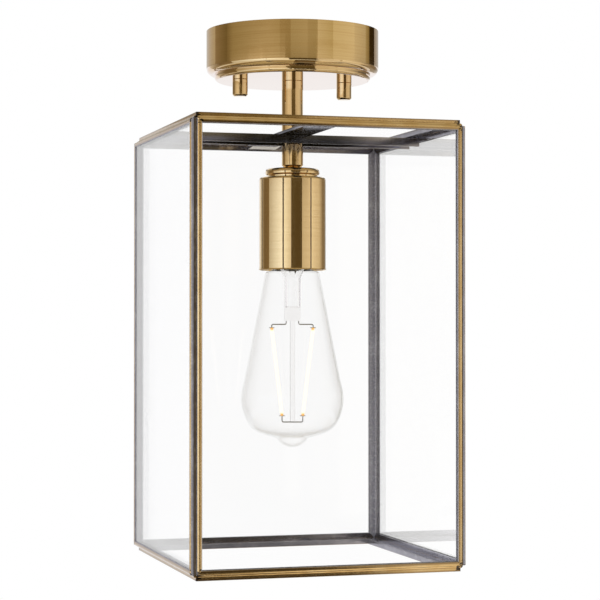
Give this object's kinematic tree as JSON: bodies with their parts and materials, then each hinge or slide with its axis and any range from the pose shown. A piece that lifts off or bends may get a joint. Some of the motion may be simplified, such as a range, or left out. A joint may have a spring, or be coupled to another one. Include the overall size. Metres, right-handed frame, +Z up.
{
  "type": "flush mount ceiling light",
  "caption": "Open glass box lantern in brass channel, hung by a short stem from a round ceiling canopy, with a screw-in filament lamp in a brass lampholder.",
  "frame": {"origin": "centre of the bracket's cable hole in the ceiling plane", "axes": "+Z up into the ceiling, +X to the right along the front pane, the front pane faces -Y"},
  "size_m": [0.1696, 0.1696, 0.3317],
  "materials": {
    "brushed_brass": "circumferentially brushed, lacquered antique brass",
    "channel_brass": "polished antique brass outside, dark patina inside",
    "dark_patina": "chemically darkened, satin",
    "clear_glass": "clear flat glass",
    "lamp_glass": "clear blown glass",
    "zinc_plated_steel": "bright zinc plate",
    "porcelain": "white glaze",
    "contact_brass": "stamped, bare",
    "nickel_plate": "nickel plate",
    "solder_tin": "tinned",
    "black_glass": "fired, glossy",
    "circuit_board": "solder mask",
    "filament_phosphor": "coated, glows warm white when lit",
    "terminal_nylon": "moulded",
    "brown_sleeve": "extruded sleeve",
    "blue_sleeve": "extruded sleeve"
  },
  "bodies": {
    "bracket": {"mounting_bracket": "zinc_plated_steel", "bracket_studs": "zinc_plated_steel", "stud_lock_nuts": "zinc_plated_steel", "earth_screw": "zinc_plated_steel"},
    "fixture": {"canopy": "brushed_brass", "stem_tube": "brushed_brass", "stem_coupler": "brushed_brass", "lampholder_cap": "brushed_brass", "lampholder_cover": "brushed_brass", "front_pane_frame": "channel_brass", "right_pane_frame": "channel_brass", "back_pane_frame": "channel_brass", "left_pane_frame": "channel_brass", "top_rim": "channel_brass", "bottom_rim": "channel_brass", "front_back_strap": "dark_patina", "crossbar": "dark_patina", "corner_seams": "dark_patina", "top_seams": "dark_patina", "bottom_seams": "dark_patina", "front_pane": "clear_glass", "right_pane": "clear_glass", "back_pane": "clear_glass", "left_pane": "clear_glass", "threaded_rod": "zinc_plated_steel", "stem_washer": "zinc_plated_steel", "stem_nut": "zinc_plated_steel", "holder_nut": "zinc_plated_steel", "terminal_screws": "zinc_plated_steel", "lampholder_body": "porcelain", "centre_contact": "contact_brass", "screw_shell": "contact_brass", "terminal_block": "terminal_nylon", "live_wire": "brown_sleeve", "neutral_wire": "blue_sleeve"},
    "left_nut": {"left_canopy_nut": "brushed_brass"},
    "right_nut": {"right_canopy_nut": "brushed_brass"},
    "lamp_carrier": {"lamp_contact": "solder_tin"},
    "lamp": {"lamp_insulator": "black_glass", "lamp_cap": "nickel_plate", "lamp_driver": "circuit_board", "lamp_envelope": "lamp_glass", "lamp_mount": "lamp_glass", "lead_wires": "nickel_plate", "filaments": "filament_phosphor", "filament_support": "nickel_plate"}
  },
  "joints": [
    {"name": "canopy_drop", "type": "slide", "parent": "bracket", "child": "fixture", "axis": [0, 0, -1], "range_m": [0, 0.008]},
    {"name": "left_nut_turn", "type": "hinge", "parent": "fixture", "child": "left_nut", "pos_m": [-0.034, 0, -0.0366], "axis": [0, 0, -1], "range_deg": [0, 4115]},
    {"name": "right_nut_turn", "type": "hinge", "parent": "fixture", "child": "right_nut", "pos_m": [0.034, 0, -0.0366], "axis": [0, 0, -1], "range_deg": [0, 4115]},
    {"name": "lamp_drop", "type": "slide", "parent": "fixture", "child": "lamp_carrier", "axis": [0, 0, -1], "range_m": [0, 0.0182]},
    {"name": "lamp_turn", "type": "hinge", "parent": "lamp_carrier", "child": "lamp", "pos_m": [0, 0, -0.2], "axis": [0, 0, -1], "range_deg": [0, 1800]}
  ],
  "couplings": [
    {"joint": "left_nut_turn", "follows": "canopy_drop", "rad_per_m": 8976},
    {"joint": "right_nut_turn", "follows": "canopy_drop", "rad_per_m": 8976},
    {"joint": "lamp_drop", "follows": "lamp_turn", "m_per_rad": 0.00057773}
  ]
}
